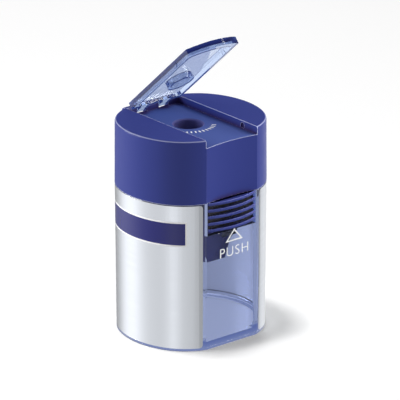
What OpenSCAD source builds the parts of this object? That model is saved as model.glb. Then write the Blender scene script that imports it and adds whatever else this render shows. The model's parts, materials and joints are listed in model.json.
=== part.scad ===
// Hand-held pencil sharpener with a shavings tub.
// A clear tub with two flat windows and two foil-faced round sides carries a
// dark head. The head holds a metal wedge sharpener in an inner carrier, a
// hinged lid closes over the pencil hole, and a ribbed pad in front is pressed
// to free the head so that it lifts off and the tub can be emptied.
// Front is -Y, up is +Z, and the origin is the middle of the underside.

/* [Body outline] */
// Width across the two round sides of the head
body_w = 42; // [36:0.5:50]
// Depth between the front and back corners
corner_d = 35.5; // [31:0.5:42]
// Width of the flat front and back, corner to corner
flat_w = 18.1; // [15:0.5:22]
// Radius of the middle of each round side
side_r = 22; // [18.5:0.5:26]
// Radius of the tighter bend next to each flat
end_r = 16; // [14:0.5:18]
// Height to the top of the head
total_h = 61.2; // [55:0.5:74]

/* [Tub] */
// Height of the tub's rim, where the head starts
rim_h = 42.9; // [36:0.5:50]
// Wall thickness of the tub
tub_wall = 1.6; // [1.2:0.1:2.2]
// Thickness of the tub's floor
floor_t = 2; // [1.4:0.1:3]
// How much narrower the tub is at its foot than at its rim
tub_draft = 0.76; // [0:0.1:1.5]
// How far the bare tub stands in from the head on each side
tub_step = 0.3; // [0.2:0.05:0.6]
// Radius of the fillet inside, along the foot of the round sides
cove_r = 2; // [0.5:0.1:3]
// Height of the foot flange under the foil panels
foot_h = 0.75; // [0.5:0.05:1.5]

/* [Foil panels] */
// Thickness of each metallised panel
foil_t = 0.2; // [0.12:0.02:0.3]
// Glue line between a panel and the tub
glue_t = 0.02; // [0.01:0.01:0.05]
// Bare strip left between a panel and the window's corner
foil_margin = 1; // [0.8:0.1:2.5]
// Radius of a panel's corners
foil_corner_r = 0.9; // [0.4:0.1:2]

/* [Head] */
// Wall thickness of the head
head_wall = 1.6; // [1.2:0.1:2.2]
// How much narrower the head is at its top than at its rim
head_draft = 0.5; // [0:0.1:1]
// Radius of the top edge of the two lobes
edge_r = 0.6; // [0.3:0.1:1]
// Hollow of the flat front and back, at mid width
facet_sag = 0.9; // [0.4:0.1:1.2]
// Depth of the channel that the lid closes
channel_depth = 2.25; // [1.8:0.05:3]
// Thickness of the channel's floor
channel_floor_t = 1.6; // [1.2:0.1:2.4]
// Diameter of the pencil hole
hole_d = 8.2; // [7.6:0.1:9]
// Distance of the pencil hole behind the body's middle
hole_y = 1; // [0:0.1:3]
// Length of the pencil hole with its collar
hole_len = 4.6; // [3.5:0.1:5.5]
// Chamfer round the mouth of the pencil hole
hole_chamfer = 0.35; // [0.2:0.05:0.6]

/* [Lid] */
// Angle that the lid stands open
lid_open = 41.5; // [0:0.5:110]
// Gap between the lid and the channel's walls
lid_gap = 0.3; // [0.2:0.05:0.5]
// Gap between the closed lid and the channel's floor
lid_float = 0.2; // [0.15:0.05:0.4]
// Thickness of the lid's panel inside its rim
lid_panel_t = 1; // [0.8:0.1:1.2]
// Width of the rim under the lid
lid_rim_w = 1.2; // [1:0.1:3]
// Radius of the corners of the pocket under the lid
pocket_r = 1.6; // [0.6:0.1:2.5]
// Radius of the lid's free end, about the body's middle
lid_tip_r = 20.4; // [19.5:0.1:21]
// Height of the ring that plugs the pencil hole, from the panel down
plug_h = 1.7; // [1.5:0.1:2.4]
// Gap around the ring in the pencil hole
plug_gap = 0.15; // [0.1:0.05:0.4]

/* [Lid hinge] */
// Distance of the hinge axis behind the body's middle
hinge_y = 17.6; // [17:0.1:18.5]
// Distance of the hinge axis below the head's top
hinge_drop = 1.15; // [1:0.05:1.4]
// Radius of the stub pins moulded on the lid
hinge_pin_r = 0.7; // [0.5:0.05:0.8]
// Running clearance around a pin or a root bar, on the radius
pin_gap = 0.06; // [0.04:0.01:0.1]
// Distance from the hinge axis forward to the lid's back edge
lid_back = 2.85; // [2.4:0.05:3.4]

/* [Press pad] */
// Width of the cut-out in the tub's front wall
notch_w = 17.2; // [13:0.2:17.6]
// Depth of the cut-out below the rim
notch_h = 9.6; // [8:0.1:11.5]
// How far the pad bulges beyond the window
pad_bulge = 1.8; // [1:0.1:2.4]
// Gap around the pad in its cut-out
pad_gap = 0.15; // [0.1:0.05:0.3]
// Gap under the pad, which dips as it swings in
pad_dip = 0.6; // [0.5:0.05:0.9]
// Number of grip ridges
ridge_count = 5; // [3:1:6]
// Height of one ridge
ridge_t = 0.6; // [0.4:0.05:0.9]
// How far the bottoms of the grooves lie behind the window's face
groove_d = 1; // [0.4:0.1:1.1]
// Radius of the bar at the root of the pad's tongue
root_r = 0.8; // [0.6:0.05:1]
// Height of the root bar above the rim
root_rise = 5; // [4:0.2:6]

/* [Carrier] */
// Width of the carrier's block
block_w = 18; // [17.4:0.2:19]
// Front of the carrier's block, ahead of the body's middle
block_front = 8.5; // [8:0.1:9.5]
// Back of the carrier's block, behind the body's middle
block_back = 9.5; // [9:0.1:11]
// Height of the carrier's lowest edge
chute_z = 21.5; // [18:0.5:24]
// Wall thickness of the carrier
carrier_wall = 1.4; // [1.2:0.1:1.6]
// Length of the skirt that plugs into the tub
skirt_h = 3; // [2:0.1:4]
// Gap between the skirt and the tub's wall
skirt_gap = 0.15; // [0.1:0.05:0.3]
// Gap between the carrier's plate and the head's wall
plate_gap = 0.1; // [0.05:0.05:0.2]

/* [Sharpener] */
// Width of the metal wedge at its mouth
wedge_w = 14.4; // [13:0.2:15]
// Width of the metal wedge at its tip
wedge_tip_w = 9.4; // [8:0.2:11]
// Thickness of the metal wedge
wedge_t = 11; // [10:0.2:12]
// Length of the metal wedge
wedge_len = 24; // [23:0.5:25]
// Half angle of the point that it cuts
point_angle = 11.3; // [10:0.1:13]
// Depth of the blade's seat below the side of the cone
seat_depth = 0.7; // [0.4:0.1:1]
// Width of the blade
blade_w = 7; // [6:0.2:8]
// Length of the blade
blade_len = 21; // [20:0.5:22]
// Thickness of the blade
blade_t = 0.6; // [0.4:0.1:0.8]
// Width of the ground bevel along the blade's cutting edge
bevel_w = 1.2; // [0.6:0.1:1.6]
// Number of grip grooves on each side of the wedge
grip_count = 6; // [4:1:8]
// Radius of the blade screw's thread
screw_r = 1.1; // [0.9:0.1:1.4]
// Radius of the blade screw's head
screw_head_r = 2.1; // [1.8:0.1:2.4]

/* [Hidden] */

head_blue = [0.16, 0.19, 0.50];
clear_blue = [0.62, 0.72, 0.90, 0.55];
foil_silver = [0.80, 0.83, 0.87];
steel = [0.72, 0.73, 0.75];
magnesium = [0.62, 0.63, 0.64];

cut = 1;            // how far a cutting solid runs past what it cuts
sunk = 0.5;         // how far joined shapes run into one another
arc_step = 4;       // degrees between the points of a round outline
edge_steps = 4;     // rings round the lobes' top edge
cove_steps = 4;     // rings round the tub's inner fillet
channel_w = flat_w; // the lid's channel runs between the corners
channel_z = total_h - channel_depth;
ceiling_z = channel_z - channel_floor_t;
hole_r = hole_d / 2;
hinge_z = total_h - hinge_drop;

// ---- the outline: two round sides and two flats ----

// Centre of a round side, and of the tighter bend that meets its flat
side_c = [body_w / 2 - side_r, 0];
corner = [flat_w / 2, corner_d / 2];
reach = norm(corner - side_c);
bend_gap = side_r - end_r;
bend_a = atan2(corner.y - side_c.y, corner.x - side_c.x)
       - acos((reach * reach + bend_gap * bend_gap - end_r * end_r) / (2 * bend_gap * reach));
end_c = side_c + bend_gap * [cos(bend_a), sin(bend_a)];
corner_a = atan2(corner.y - end_c.y, corner.x - end_c.x);

// Points on an arc of radius r about c, from angle a to angle b
function arc(c, r, a, b) =
    let (n = max(2, round(abs(b - a) / arc_step)))
    [for (i = [0:n]) c + r * [cos(a + (b - a) * i / n), sin(a + (b - a) * i / n)]];

function drop_ends(p) = [for (i = [1:1:len(p) - 2]) p[i]];
function drop_last(p) = [for (i = [0:1:len(p) - 2]) p[i]];
function turned(p) = [for (q = p) -q];

// The right-hand side from its front corner to its back corner, set in by t
function side(t) = concat(
    drop_last(arc([end_c.x, -end_c.y], end_r - t, -corner_a, -bend_a)),
    drop_last(arc(side_c, side_r - t, -bend_a, bend_a)),
    arc(end_c, end_r - t, bend_a, corner_a));

// The back flat from its right corner to its left one, hollowed by sag
function flat(t, sag) =
    let (k = end_c + (end_r - t) * [cos(corner_a), sin(corner_a)],
         r = (k.x * k.x + sag * sag) / (2 * max(sag, 0.001)),
         a = asin(k.x / r))
    sag <= 0 ? [] : drop_ends(arc([0, k.y - sag + r], r, -90 + a, -90 - a));

// The whole outline, set in by t and stretched to width w and depth d
function outline(t, sag, w, d) =
    let (half = concat(side(t), flat(t, sag)),
         whole = concat(half, turned(half)))
    [for (p = whole) [p.x * w / body_w, p.y * d / corner_d]];

// A closed skin through rings of equal count; each ring is [z, points]
module skin(rings) {
    n = len(rings[0][1]);
    m = len(rings);
    points = [for (r = rings) for (p = r[1]) [p.x, p.y, r[0]]];
    walls = [for (j = [0:m - 2]) for (i = [0:n - 1])
             let (a = j * n + i, b = j * n + (i + 1) % n)
             each [[a, a + n, b + n], [a, b + n, b]]];
    floor_face = [[for (i = [0:n - 1]) i]];
    top_face = [[for (i = [n - 1:-1:0]) (m - 1) * n + i]];
    polyhedron(points, concat(walls, floor_face, top_face), convexity = 6);
}

// ---- the tub's own outline at height z ----

tub_top_w = body_w - 2 * tub_step;
tub_foot_w = tub_top_w - tub_draft;
tub_d = corner_d - 0.2;
function tub_w(z) = tub_foot_w + (tub_top_w - tub_foot_w) * z / rim_h;
function tub_ring(z, t) = [z, outline(t, 0, tub_w(z), tub_d)];

window_y = -tub_d / 2;
tub_inner_y = window_y + tub_wall;
foil_edge_x = flat_w / 2 + foil_margin;

module tub() {
    flange = foil_t;  // the foot stands out as far as the foil does
    chamfer = 0.25;
    inner_corner = end_c + (end_r - tub_wall) * [cos(corner_a), sin(corner_a)];
    between = inner_corner.x * tub_foot_w / body_w;
    color(clear_blue)
    difference() {
        skin([tub_ring(0, chamfer - flange), tub_ring(chamfer, -flange),
              tub_ring(foot_h, -flange), tub_ring(foot_h + 0.02, 0), tub_ring(rim_h, 0)]);
        // the chamber, with a fillet at its foot
        skin(concat([for (i = [0:cove_steps])
                     let (a = 90 * i / cove_steps)
                     tub_ring(floor_t + cove_r * (1 - cos(a)), tub_wall + cove_r * (1 - sin(a)))],
                    [tub_ring(rim_h + cut, tub_wall)]));
        // between the windows the floor runs flat up to both of them
        intersection() {
            skin([tub_ring(floor_t, tub_wall), tub_ring(floor_t + 2 * cove_r, tub_wall)]);
            translate([-between, -corner_d, 0]) cube([2 * between, 2 * corner_d, rim_h]);
        }
        translate([-notch_w / 2, -corner_d, rim_h - notch_h])
            cube([notch_w, corner_d - 8, notch_h + cut]);
    }
}

// ---- foil panels on the two round sides ----

module rounded_window(w, h, r) {
    translate([r, 0]) square([w - r, h]);
    translate([0, r]) square([w, h - 2 * r]);
    for (y = [r, h - r]) translate([r, y]) circle(r, $fn = 32);
}

module foil_panel_right() {
    z0 = foot_h + 0.05;
    z1 = rim_h - 0.3;
    color(foil_silver)
    intersection() {
        difference() {
            skin([tub_ring(foot_h, -foil_t), tub_ring(rim_h, -foil_t)]);
            skin([tub_ring(foot_h - cut, -glue_t), tub_ring(rim_h + cut, -glue_t)]);
        }
        translate([foil_edge_x, corner_d, z0])
            rotate([90, 0, 0])
            linear_extrude(2 * corner_d)
            rounded_window(body_w / 2, z1 - z0, foil_corner_r);
    }
}

module foil_panel_left() {
    rotate([0, 0, 180]) foil_panel_right();
}

// ---- head ----

head_top_w = body_w - head_draft;
function head_w(z) = body_w + (head_top_w - body_w) * (z - rim_h) / (total_h - rim_h);
function head_ring(z, t) = [z, outline(t, facet_sag, head_w(z), corner_d)];

lug_r = hinge_drop;
centre_lug_w = 4.2;
knuckle_w = 3;
knuckle_gap = 0.25;
knuckle_x = centre_lug_w / 2 + knuckle_gap;
side_lug_x = knuckle_x + knuckle_w + knuckle_gap;
pin_in = 1.1;  // how deep a stub pin sits in a lug
dimple_y = -lid_tip_r + 9;
dimple_z = channel_z + 0.4 * channel_depth;
dimple_r = 0.8;
dimple_d = 0.35;
lug_out = 0.2;  // how far the outer lugs run past the channel's sides
lug_drop = 1.5; // how far the lugs' ribs run down below the channel's floor
collar_t = 1.4; // wall of the collar round the pencil hole
ear_w = 2;
ear_in = 3;     // how far the ears stand in from the cut-out's sides
ear_x = notch_w / 2 - ear_in;
ear_r = root_r + 1.1;  // half width of an ear, its wall round the bore included
root_z = rim_h + root_rise;
root_gap = 0.7; // room between the head's front wall and the root bar
root_y = -corner_d / 2 + facet_sag + head_wall + root_r + root_gap;

// A bar along X from x0 to x1 at the hinge axis
module hinge_bar(x0, x1, r) {
    translate([x0, hinge_y, hinge_z]) rotate([0, 90, 0]) cylinder(r = r, h = x1 - x0, $fn = 48);
}

// A hinge lug: an eye on a rib that runs down the head's back
module lug(x0, x1) {
    foot_z = ceiling_z - lug_drop;
    hinge_bar(x0, x1, lug_r);
    translate([x0, 0, 0])
        rotate([90, 0, 90])
        linear_extrude(x1 - x0)
        polygon([[hinge_y - lug_r, foot_z], [hinge_y, foot_z], [hinge_y + lug_r, hinge_z],
                 [hinge_y - lug_r, hinge_z]]);
}

module head_shell() {
    turns = [for (i = [0:edge_steps]) 90 * i / edge_steps];
    rings = concat([head_ring(rim_h, 0)],
        [for (a = turns) head_ring(total_h - edge_r + edge_r * sin(a), edge_r * (1 - cos(a)))]);
    difference() {
        skin(rings);
        // the lid's channel, from front to back
        translate([-channel_w / 2, -corner_d, channel_z])
            cube([channel_w, 2 * corner_d, channel_depth + cut]);
        // the hollow under the channel's floor
        translate([0, 0, rim_h - cut])
            linear_extrude(ceiling_z - rim_h + cut)
            polygon(outline(head_wall, facet_sag, head_top_w, corner_d));
        // the hollow inside each lobe
        for (s = [0, 180])
            rotate([0, 0, s])
            translate([0, 0, rim_h])
            linear_extrude(total_h - head_wall - rim_h)
            intersection() {
                polygon(outline(head_wall, facet_sag, head_top_w, corner_d));
                translate([channel_w / 2 + head_wall, -corner_d]) square([body_w, 2 * corner_d]);
            }
    }
}

module head() {
    color(head_blue)
    difference() {
        union() {
            head_shell();
            // collar round the pencil hole
            translate([0, hole_y, channel_z - hole_len])
                cylinder(r = hole_r + collar_t, h = hole_len - channel_floor_t / 2, $fn = 96);
            lug(-centre_lug_w / 2, centre_lug_w / 2);
            lug(side_lug_x, channel_w / 2 + lug_out);
            lug(-channel_w / 2 - lug_out, -side_lug_x);
            // ears that hold the pad's root bar
            for (s = [-1, 1])
                translate([s * (ear_x + ear_w / 2) - ear_w / 2, root_y - ear_r, root_z - ear_r])
                cube([ear_w, 2 * ear_r, ceiling_z - root_z + ear_r + sunk]);
        }
        translate([0, hole_y, channel_z - hole_len - cut])
            cylinder(r = hole_r, h = hole_len + channel_depth + cut, $fn = 96);
        translate([0, hole_y, channel_z - hole_chamfer])
            cylinder(r1 = hole_r, r2 = hole_r + 2 * hole_chamfer, h = 2 * hole_chamfer, $fn = 96);
        // pin holes in the lugs
        for (s = [-1, 1])
            hinge_bar(s * (knuckle_x + knuckle_w / 2) - knuckle_w / 2 - knuckle_gap - pin_in,
                      s * (knuckle_x + knuckle_w / 2) + knuckle_w / 2 + knuckle_gap + pin_in,
                      hinge_pin_r + pin_gap);
        // dimples that catch the lid's nibs
        for (s = [-1, 1])
            translate([s * channel_w / 2, dimple_y, dimple_z])
            rotate([0, 90, 0])
            cylinder(r = dimple_r, h = 2 * dimple_d, center = true, $fn = 32);
        // bore through the ears
        translate([-ear_x - ear_w - cut, root_y, root_z])
            rotate([0, 90, 0])
            cylinder(r = root_r + pin_gap, h = 2 * (ear_x + ear_w + cut), $fn = 48);
    }
}

// ---- press pad: a ribbed tongue that swings in at its root ----

strip_t = 1.2;  // the tongue from the pad up to its root
shelf_t = 1.6;  // the shelf from the pad back to the tongue
pad_foot = 0.6; // the plate left below the last ridge
catch_w = 5;    // the tongue behind the window that catches the tub
catch_h = 2.6;
catch_t = 1.2;

module press_pad() {
    half = notch_w / 2 - pad_gap;
    z0 = rim_h - notch_h + pad_dip;
    z1 = rim_h - pad_gap;
    pad_r = (notch_w * notch_w / 4 + pad_bulge * pad_bulge) / (2 * pad_bulge);
    pad_c = window_y - pad_bulge + pad_r;
    back_y = tub_inner_y + 0.1;
    strip_y = root_y - root_r;
    strip_w = 2 * ear_x - 0.6;
    pitch = (z1 - z0 - pad_foot - ridge_t) / (ridge_count - 1);
    color(head_blue)
    union() {
        // plate at the bottom of the grooves, and the bulging ridges in front of it
        translate([-half, window_y + groove_d, z0])
            cube([2 * half, back_y - window_y - groove_d, z1 - z0]);
        for (i = [0:ridge_count - 1])
            intersection() {
                translate([0, pad_c, z1 - ridge_t - i * pitch]) cylinder(r = pad_r, h = ridge_t, $fn = 240);
                translate([-half, -corner_d, z0]) cube([2 * half, corner_d + back_y, z1 - z0 + cut]);
            }
        // shelf from the pad back to the tongue, and the tongue up to its root
        translate([-strip_w / 2, back_y - sunk, z1 - shelf_t])
            cube([strip_w, strip_y + strip_t - back_y + sunk, shelf_t]);
        translate([-strip_w / 2, strip_y, z1 - shelf_t])
            cube([strip_w, strip_t, root_z - z1 + shelf_t]);
        translate([-ear_x - ear_w + 0.1, root_y, root_z])
            rotate([0, 90, 0])
            cylinder(r = root_r, h = 2 * (ear_x + ear_w) - 0.2, $fn = 48);
        // catch tongue behind the window, below the cut-out
        translate([-catch_w / 2, back_y, z0 - catch_h])
            cube([catch_w, catch_t, catch_h + 2 * sunk]);
    }
}

// ---- carrier: inner plate, skirt and the block that holds the wedge ----

plate_z = rim_h + 0.3;
plate_t = 1.5;
skirt_t = 1.2;
way_gap = 0.2;   // how much wider than the pencil hole the way through the carrier is
room_side = 0.6; // room left beside the press pad
room_back = 4.6; // room left behind the window's wall for the pad's tongue
block_top = channel_z - hole_len - plate_gap;
shoulder_z = chute_z + 5.4;
shoulder_h = 1.7;
chute_top_w = 13.2;
chute_w = 9.2;

module skirt_plan(t) {
    difference() {
        polygon(outline(t, 0, body_w, corner_d));
        polygon(outline(t + skirt_t, 0, body_w, corner_d));
    }
}

// Front view of the block, set in by t
module block_profile(t) {
    w = block_w / 2 - t;
    n = chute_top_w / 2 - t;
    b = chute_w / 2 - t;
    low = chute_z - (t > 0 ? cut : 0);
    right = [[b, low], [n, shoulder_z], [w, shoulder_z + shoulder_h], [w, block_top - t]];
    polygon(concat(right, [for (i = [3:-1:0]) [-right[i].x, right[i].y]]));
}

// Extrude a front view along Y from y0 to y1
module along_y(y0, y1) {
    translate([0, y1, 0]) rotate([90, 0, 0]) linear_extrude(y1 - y0) children();
}

wedge_fit = 0.1;  // gap around the wedge in its seat
wedge_top = block_top - carrier_wall - wedge_fit;
wedge_y0 = hole_y - wedge_t / 2;
wedge_y1 = hole_y + wedge_t / 2;
wedge_z0 = wedge_top - wedge_len;
rib_t = 1.4;
rib_x = wedge_tip_w / 2 - rib_t;

// Two ribs behind the wedge's plain face, and a shelf under its tip
module wedge_seat() {
    for (s = [-1, 1])
        translate([s * (rib_x + rib_t / 2) - rib_t / 2, -block_front, wedge_z0])
        cube([rib_t, block_front + wedge_y0 - wedge_fit, wedge_len + cut]);
    translate([-block_w / 2, -block_front, wedge_z0 - wedge_fit - rib_t])
        cube([block_w, block_front + hole_y - 0.5, rib_t]);
}

module sharpener_carrier() {
    skirt_in = tub_wall + tub_step + skirt_gap;
    color(head_blue)
    difference() {
        union() {
            translate([0, 0, plate_z])
                linear_extrude(plate_t)
                polygon(outline(head_wall + plate_gap, facet_sag, head_top_w, corner_d));
            translate([0, 0, rim_h - skirt_h])
                linear_extrude(skirt_h)
                skirt_plan(skirt_in);
            // above the rim the skirt keeps inside the head's hollowed flats
            translate([0, 0, rim_h - 0.2])
                linear_extrude(plate_z - rim_h + 0.3)
                intersection() {
                    skirt_plan(skirt_in);
                    polygon(outline(head_wall + plate_gap, facet_sag, head_top_w, corner_d));
                }
            along_y(-block_front, block_back) block_profile(0);
        }
        difference() {
            along_y(-block_front + carrier_wall, block_back - carrier_wall) block_profile(carrier_wall);
            wedge_seat();
        }
        // way in for the pencil
        translate([0, hole_y, block_top - 2 * carrier_wall])
            cylinder(r = hole_r + way_gap, h = 4 * carrier_wall, $fn = 96);
        // room for the press pad and its tongue
        translate([-notch_w / 2 - room_side, -corner_d, rim_h - skirt_h - cut])
            cube([notch_w + 2 * room_side, corner_d + tub_inner_y + room_back, skirt_h + plate_t + 2 * cut]);
    }
}

// ---- metal wedge, blade and screw ----

mouth_h = 3;       // straight mouth above the cone
cheek_h = 5;       // full width of the wedge at its mouth, above the taper
cone_top = wedge_top - mouth_h;
cone_h = hole_r / tan(point_angle);
tip_z = cone_top - cone_h;
// The blade's lower end, along the side of the cone, just past the wedge's tip
blade_low = (wedge_z0 - tip_z) / cos(point_angle) - 0.1;

// Frame of the blade: Z along the side of the cone, Y out of its face
module blade_frame() {
    translate([0, hole_y, tip_z]) rotate([-point_angle, 0, 0]) children();
}

screw_x = blade_w / 2 + 0.4;
screw_z = blade_low + blade_len / 2;
thread_len = 4;
head_len = 0.9;
slip = 0.1;        // slack of the screw in the blade's hole
grip_t = 0.7;      // width of one grip groove
grip_d = 0.4;
grip_end = 3;      // plain length left at each end of the grip
taper_a = atan2((wedge_w - wedge_tip_w) / 2, wedge_len - cheek_h);

// Grooves across one tapered side of the wedge, for the fingers
module grip_grooves() {
    run = (wedge_len - cheek_h) / cos(taper_a);
    step = (run - 2 * grip_end) / (grip_count - 1);
    translate([wedge_tip_w / 2, 0, wedge_z0])
        rotate([0, taper_a, 0])
        for (i = [0:grip_count - 1])
            translate([-grip_d, wedge_y0 - cut, grip_end + i * step - grip_t / 2])
            cube([2 * grip_d, wedge_t + 2 * cut, grip_t]);
}

module sharpener_wedge() {
    color(magnesium)
    difference() {
        along_y(wedge_y0, wedge_y1)
            polygon([[-wedge_w / 2, wedge_top], [-wedge_w / 2, wedge_top - cheek_h],
                     [-wedge_tip_w / 2, wedge_z0], [wedge_tip_w / 2, wedge_z0],
                     [wedge_w / 2, wedge_top - cheek_h], [wedge_w / 2, wedge_top]]);
        // mouth and cone for the pencil
        translate([0, hole_y, cone_top]) cylinder(r = hole_r, h = mouth_h + cut, $fn = 96);
        translate([0, hole_y, tip_z]) cylinder(r1 = 0.01, r2 = hole_r, h = cone_h + 0.01, $fn = 96);
        grip_grooves();
        mirror([1, 0, 0]) grip_grooves();
        // seat for the blade
        blade_frame()
            translate([-wedge_w, -seat_depth, blade_low - 8])
            cube([2 * wedge_w, wedge_t, blade_len + 10]);
        blade_frame()
            translate([screw_x, -seat_depth - thread_len - cut, screw_z])
            rotate([-90, 0, 0])
            cylinder(r = screw_r + 0.02, h = thread_len + 2 * cut, $fn = 48);
    }
}

module blade() {
    color(steel)
    blade_frame()
    difference() {
        // ground to an edge along the cone's side
        translate([0, -seat_depth, blade_low])
            linear_extrude(blade_len)
            polygon([[0, 0], [blade_w, 0], [blade_w, blade_t], [bevel_w, blade_t]]);
        translate([screw_x, -seat_depth - cut, screw_z])
            rotate([-90, 0, 0])
            cylinder(r = screw_r + slip, h = blade_t + 2 * cut, $fn = 48);
    }
}

module blade_screw() {
    color(steel)
    blade_frame()
    translate([screw_x, -seat_depth, screw_z])
    rotate([-90, 0, 0]) {
        translate([0, 0, -thread_len]) cylinder(r = screw_r, h = thread_len + blade_t + slip, $fn = 48);
        translate([0, 0, blade_t]) cylinder(r = screw_head_r, h = head_len, $fn = 48);
    }
}

// ---- lid ----

lid_w = channel_w - 2 * lid_gap;
lid_z0 = channel_z + lid_float;
lid_back_y = hinge_y - lid_back;

lid_tip_rim = 2;    // width of the rim at the free end
ring_t = 0.9;       // wall of the plug ring
knuckle_slack = 0.05;
arm_in = 0.5;       // how far a knuckle's arm runs into the lid
nib_out = 0.22;     // how far a nib stands out from the lid's side

module lid_plan() {
    intersection() {
        translate([-lid_w / 2, -lid_tip_r - cut]) square([lid_w, lid_tip_r + cut + lid_back_y]);
        circle(lid_tip_r, $fn = 240);
    }
}

// Plan of the pocket under the lid: half width w, round end of radius tip, back edge at back
function pocket_plan(w, tip, back, r) =
    let (c = [w - r, -sqrt((tip - r) * (tip - r) - (w - r) * (w - r))],
         a = atan2(-c.y, c.x))
    concat(arc(c, r, 0, -a), drop_ends(arc([0, 0], tip, -a, a - 180)),
           arc([-c.x, c.y], r, a - 180, -180),
           arc([r - w, back - r], r, 180, 90), arc([w - r, back - r], r, 90, 0));

module lid_closed() {
    plug_r = hole_r - plug_gap;
    panel_z = total_h - lid_panel_t;
    difference() {
        translate([0, 0, lid_z0]) linear_extrude(total_h - lid_z0) lid_plan();
        translate([0, 0, lid_z0 - cut])
            linear_extrude(panel_z - lid_z0 + cut)
            polygon(pocket_plan(lid_w / 2 - lid_rim_w, lid_tip_r - lid_tip_rim,
                                lid_back_y - lid_rim_w, pocket_r));
    }
    // ring that plugs the pencil hole
    translate([0, hole_y, panel_z - plug_h])
        difference() {
            cylinder(r = plug_r, h = plug_h + 0.2, $fn = 96);
            translate([0, 0, -cut]) cylinder(r = plug_r - ring_t, h = plug_h + cut, $fn = 96);
        }
    // knuckles with their stub pins
    for (s = [-1, 1]) {
        x0 = s * (knuckle_x + knuckle_w / 2) - knuckle_w / 2;
        hinge_bar(x0, x0 + knuckle_w, lug_r - knuckle_slack);
        hinge_bar(x0 - knuckle_gap - pin_in + 0.1, x0 + knuckle_w + knuckle_gap + pin_in - 0.1, hinge_pin_r);
        translate([x0, lid_back_y - arm_in, lid_z0])
            cube([knuckle_w, hinge_y - lid_back_y + arm_in, hinge_z + lug_r - knuckle_slack - lid_z0]);
    }
    // nibs that snap into the channel's dimples
    for (s = [-1, 1])
        translate([s * (lid_w / 2 - 0.3), dimple_y, dimple_z])
        rotate([0, s * 90, 0])
        cylinder(r = dimple_r - 0.15, h = 0.3 + nib_out, $fn = 32);
}

module lid() {
    color(clear_blue)
    translate([0, hinge_y, hinge_z])
    rotate([-lid_open, 0, 0])
    translate([0, -hinge_y, -hinge_z])
    lid_closed();
}

tub();
foil_panel_left();
foil_panel_right();
head();
sharpener_carrier();
sharpener_wedge();
blade();
blade_screw();
press_pad();
lid();
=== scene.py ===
import json
from math import asin, atan2, cos, pi, radians, sin

import bmesh
import bpy
from mathutils import Matrix, Vector


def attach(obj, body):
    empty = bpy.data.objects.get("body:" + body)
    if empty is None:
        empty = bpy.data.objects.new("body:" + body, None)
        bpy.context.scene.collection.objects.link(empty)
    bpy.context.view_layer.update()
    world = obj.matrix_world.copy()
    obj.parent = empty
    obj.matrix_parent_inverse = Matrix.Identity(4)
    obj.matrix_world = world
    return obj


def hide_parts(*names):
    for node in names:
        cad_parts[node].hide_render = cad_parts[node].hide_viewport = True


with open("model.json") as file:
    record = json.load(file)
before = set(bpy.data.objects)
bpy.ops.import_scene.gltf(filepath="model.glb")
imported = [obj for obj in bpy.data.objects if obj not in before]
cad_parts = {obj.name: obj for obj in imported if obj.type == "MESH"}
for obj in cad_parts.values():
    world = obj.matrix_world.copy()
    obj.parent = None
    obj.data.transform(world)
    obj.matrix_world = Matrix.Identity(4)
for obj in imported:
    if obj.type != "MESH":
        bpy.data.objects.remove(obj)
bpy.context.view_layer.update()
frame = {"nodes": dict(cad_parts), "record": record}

MM = 0.001


# ---- Tub -------------------------------------------------------------------------------------
# The tub is one clear moulding of blue-tinted polystyrene with a flat window in front and
# behind and two round sides. It holds the shavings, and a cut-out in its front wall leaves
# room for the press pad. The plastic takes its tint at the skin and on the way through.

up_share = 0.9             # an edge is upright and a face is level when this share of it points up


def plain_mesh(name, mesh, material, angle=32):
    """Wraps a mesh in an object with one material, smooth across edges under the angle.

    Upright edges stay sharp from a quarter of it, where a flat window meets a round side."""
    piece = bpy.data.objects.new(name, mesh)
    bpy.context.scene.collection.objects.link(piece)
    mesh.materials.clear()
    mesh.materials.append(material)
    mesh.shade_smooth()
    mesh.set_sharp_from_angle(angle=radians(angle))
    shape = bmesh.new()
    shape.from_mesh(mesh)
    for edge in shape.edges:
        along = edge.verts[1].co - edge.verts[0].co
        if len(edge.link_faces) == 2 and abs(along.z) > up_share * along.length > MM:
            if edge.calc_face_angle() > radians(angle / 4):
                edge.smooth = False
    shape.to_mesh(mesh)
    shape.free()
    return piece


def joined_copy(node):
    """A copy of a CAD node's mesh with its loose triangles joined and its flats dissolved."""
    shape = bmesh.new()
    shape.from_mesh(frame["nodes"][node].data)
    bmesh.ops.remove_doubles(shape, verts=shape.verts, dist=0.002 * MM)
    bmesh.ops.dissolve_limit(shape, angle_limit=radians(0.4), verts=shape.verts, edges=shape.edges)
    mesh = bpy.data.meshes.new(node)
    shape.to_mesh(mesh)
    shape.free()
    return mesh


def moulding(node, material, edge=0.12, angle=32):
    """Stands in for a CAD node: the same shape, its sharp edges broken as a mould leaves them."""
    piece = plain_mesh(node + "_moulding", joined_copy(node), material, angle)
    if edge:
        soften = piece.modifiers.new("soften", "BEVEL")
        soften.width = edge * MM
        soften.segments = 2
        soften.limit_method = "ANGLE"
        soften.angle_limit = radians(angle)
        soften.use_clamp_overlap = True
        level = piece.modifiers.new("level", "WEIGHTED_NORMAL")
        level.keep_sharp = True
    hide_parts(node)
    for body, members in frame["record"]["behaviour"]["bodies"].items():
        if node in members:
            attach(piece, body)
    return piece


def linear(red, green, blue):
    """An 8-bit screen colour as the scene's linear colour."""
    return tuple((c / 255 / 12.92 if c < 11 else ((c / 255 + 0.055) / 1.055) ** 2.4)
                 for c in (red, green, blue)) + (1.0,)


def add(tree, kind, inputs=None, **settings):
    """Adds a node, sets its properties, then links or sets each named input."""
    node = tree.nodes.new(kind)
    for name, value in settings.items():
        setattr(node, name, value)
    for name, value in (inputs or {}).items():
        if isinstance(value, bpy.types.NodeSocket):
            tree.links.new(value, node.inputs[name])
        else:
            node.inputs[name].default_value = value
    return node


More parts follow.
